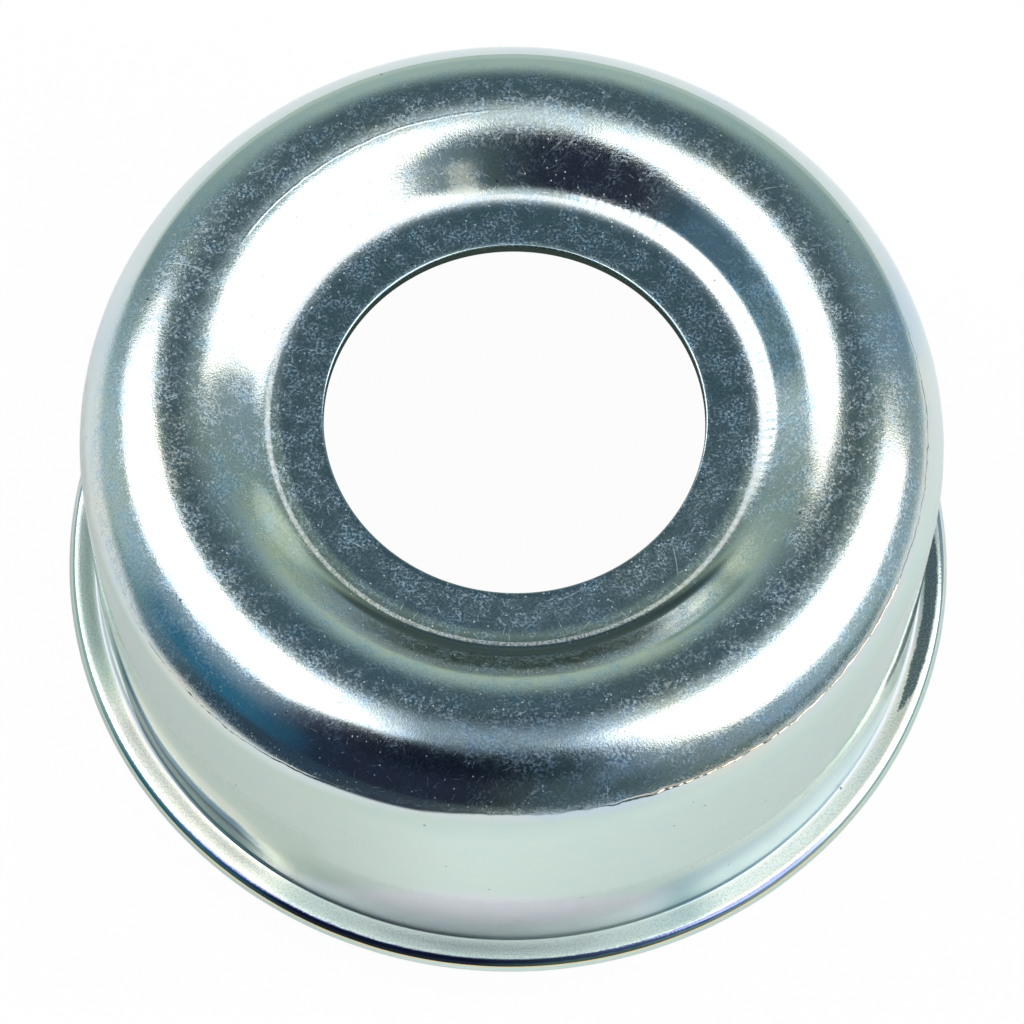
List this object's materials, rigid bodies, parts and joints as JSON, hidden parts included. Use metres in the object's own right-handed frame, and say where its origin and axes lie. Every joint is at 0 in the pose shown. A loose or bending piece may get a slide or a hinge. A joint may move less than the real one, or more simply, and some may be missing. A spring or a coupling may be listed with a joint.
{
  "type": "hub grease cap",
  "caption": "Round pressed-steel grease cap for a wheel hub, with a rounded rim, a recessed dish with a plug hole, a folded bead and a push-fit skirt.",
  "frame": {"origin": "centre of the open end of the skirt, on the axis of the cap", "axes": "+Z along the axis of the cap, from the open end to the closed end; X and Y are free, because the cap is round"},
  "size_m": [0.0666, 0.0666, 0.0346],
  "materials": {
    "zinc_plate": "bright zinc plate with a pale blue passivation, smooth, with light handling scratches"
  },
  "bodies": {
    "root": {"grease_cap": "zinc_plate"}
  },
  "joints": []
}
